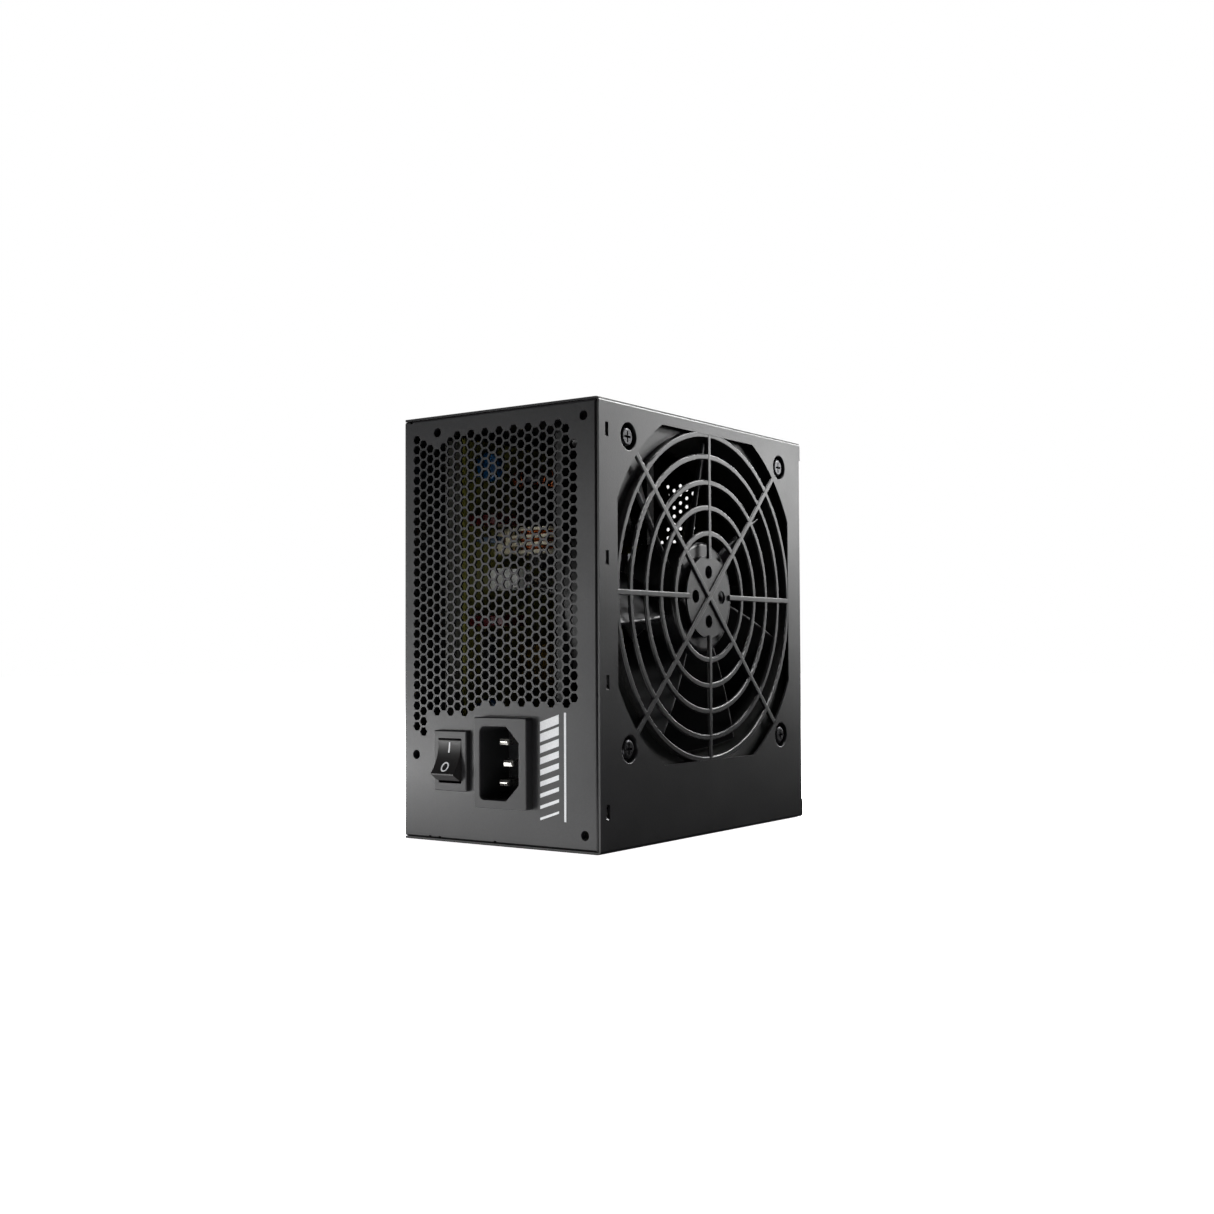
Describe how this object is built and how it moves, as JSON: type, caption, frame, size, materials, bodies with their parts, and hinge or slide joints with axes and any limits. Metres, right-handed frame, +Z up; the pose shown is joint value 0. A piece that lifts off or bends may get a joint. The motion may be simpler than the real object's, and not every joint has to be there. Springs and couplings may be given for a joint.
{
  "type": "computer power supply unit",
  "caption": "Boxed computer power supply: folded black steel case, round grille over a large fan, hexagonal vent panel with mains inlet and rocker switch.",
  "frame": {"origin": "centre of the side wall that the supply stands on", "axes": "+Z up along the 150 mm side, +X out of the fan face, -Y out of the mains panel"},
  "size_m": [0.086, 0.1477, 0.15],
  "materials": {
    "black_steel": "fine-textured semi-gloss powder coat",
    "screw_steel": "black zinc",
    "plain_steel": "bright zinc",
    "fan_plastic": "moulded, satin",
    "switch_plastic": "moulded, fine spark texture",
    "rocker_plastic": "moulded, satin",
    "bright_brass": "nickel-plated",
    "brass": "plain",
    "copper": "enamelled wire",
    "magnet": "bonded ferrite",
    "ferrite": "sintered",
    "laminations": "stacked sheet",
    "bronze": "sintered",
    "board_green": "glass-epoxy laminate",
    "sheet_film": "translucent film",
    "white_nylon": "moulded",
    "cream_plastic": "moulded",
    "blue_lacquer": "dipped",
    "red_lacquer": "dipped",
    "grey_lacquer": "dipped",
    "black_sleeve": "shrunk sleeve",
    "heatsink_alu": "extruded",
    "chip_epoxy": "moulded epoxy",
    "yellow_tape": "polyester tape",
    "iron_powder": "coated toroid",
    "wire_brown": "vinyl",
    "wire_black": "vinyl",
    "wire_blue": "vinyl",
    "wire_earth": "vinyl",
    "bushing_rubber": "moulded"
  },
  "bodies": {
    "root": {"base_shell": "black_steel", "fan_cover": "black_steel", "cover_screws": "screw_steel", "fan_screws": "screw_steel", "fan_frame": "fan_plastic", "fan_bearing": "bronze", "fan_stator": "laminations", "fan_coils": "copper", "fan_motor_board": "board_green", "fan_lead": "wire_black", "fan_plug": "white_nylon", "inlet_housing": "switch_plastic", "live_pin": "bright_brass", "neutral_pin": "bright_brass", "earth_pin": "bright_brass", "switch_housing": "switch_plastic", "switch_terminals": "brass", "live_lead": "wire_brown", "switched_lead": "wire_black", "neutral_lead": "wire_blue", "earth_lead": "wire_earth", "earth_stud": "plain_steel", "earth_terminal": "bright_brass", "earth_nut": "plain_steel", "cable_bushing": "bushing_rubber", "main_board": "board_green", "board_standoffs": "brass", "board_screws": "plain_steel", "insulating_sheet": "sheet_film", "y_capacitors": "blue_lacquer", "film_capacitors": "red_lacquer", "thermistor": "grey_lacquer", "fuse": "black_sleeve", "line_filter_bobbin": "cream_plastic", "line_filter_windings": "copper", "line_filter_core": "ferrite", "choke_core": "ferrite", "choke_winding": "copper", "bulk_capacitor": "black_sleeve", "primary_heatsink": "heatsink_alu", "primary_transistors": "chip_epoxy", "bridge_rectifier": "chip_epoxy", "secondary_heatsink": "heatsink_alu", "output_rectifiers": "chip_epoxy", "main_transformer_core": "ferrite", "main_transformer_winding": "yellow_tape", "standby_transformer": "yellow_tape", "output_choke_core": "iron_powder", "output_choke_winding": "copper", "output_capacitors": "black_sleeve", "control_board": "board_green", "control_chips": "chip_epoxy"},
    "fan_rotor": {"fan_impeller": "fan_plastic", "fan_shaft": "plain_steel", "fan_magnet_ring": "magnet"},
    "switch_rocker": {"switch_rocker": "rocker_plastic", "switch_plunger": "plain_steel", "switch_spring": "plain_steel"},
    "switch_seesaw": {"switch_contact": "copper"}
  },
  "joints": [
    {"name": "fan_spin", "type": "hinge", "parent": "root", "child": "fan_rotor", "pos_m": [0.03, 0, 0.086], "axis": [1, 0, 0], "continuous": true},
    {"name": "switch_rock", "type": "hinge", "parent": "root", "child": "switch_rocker", "pos_m": [-0.0197, -0.07005, 0.0285], "axis": [1, 0, 0], "range_deg": [0, 40]},
    {"name": "contact_tip", "type": "hinge", "parent": "root", "child": "switch_seesaw", "pos_m": [-0.0197, -0.0611, 0.0285], "axis": [1, 0, 0], "range_deg": [-12, 0]}
  ],
  "couplings": [
    {"joint": "contact_tip", "follows": "switch_rock", "ratio": -0.3}
  ]
}
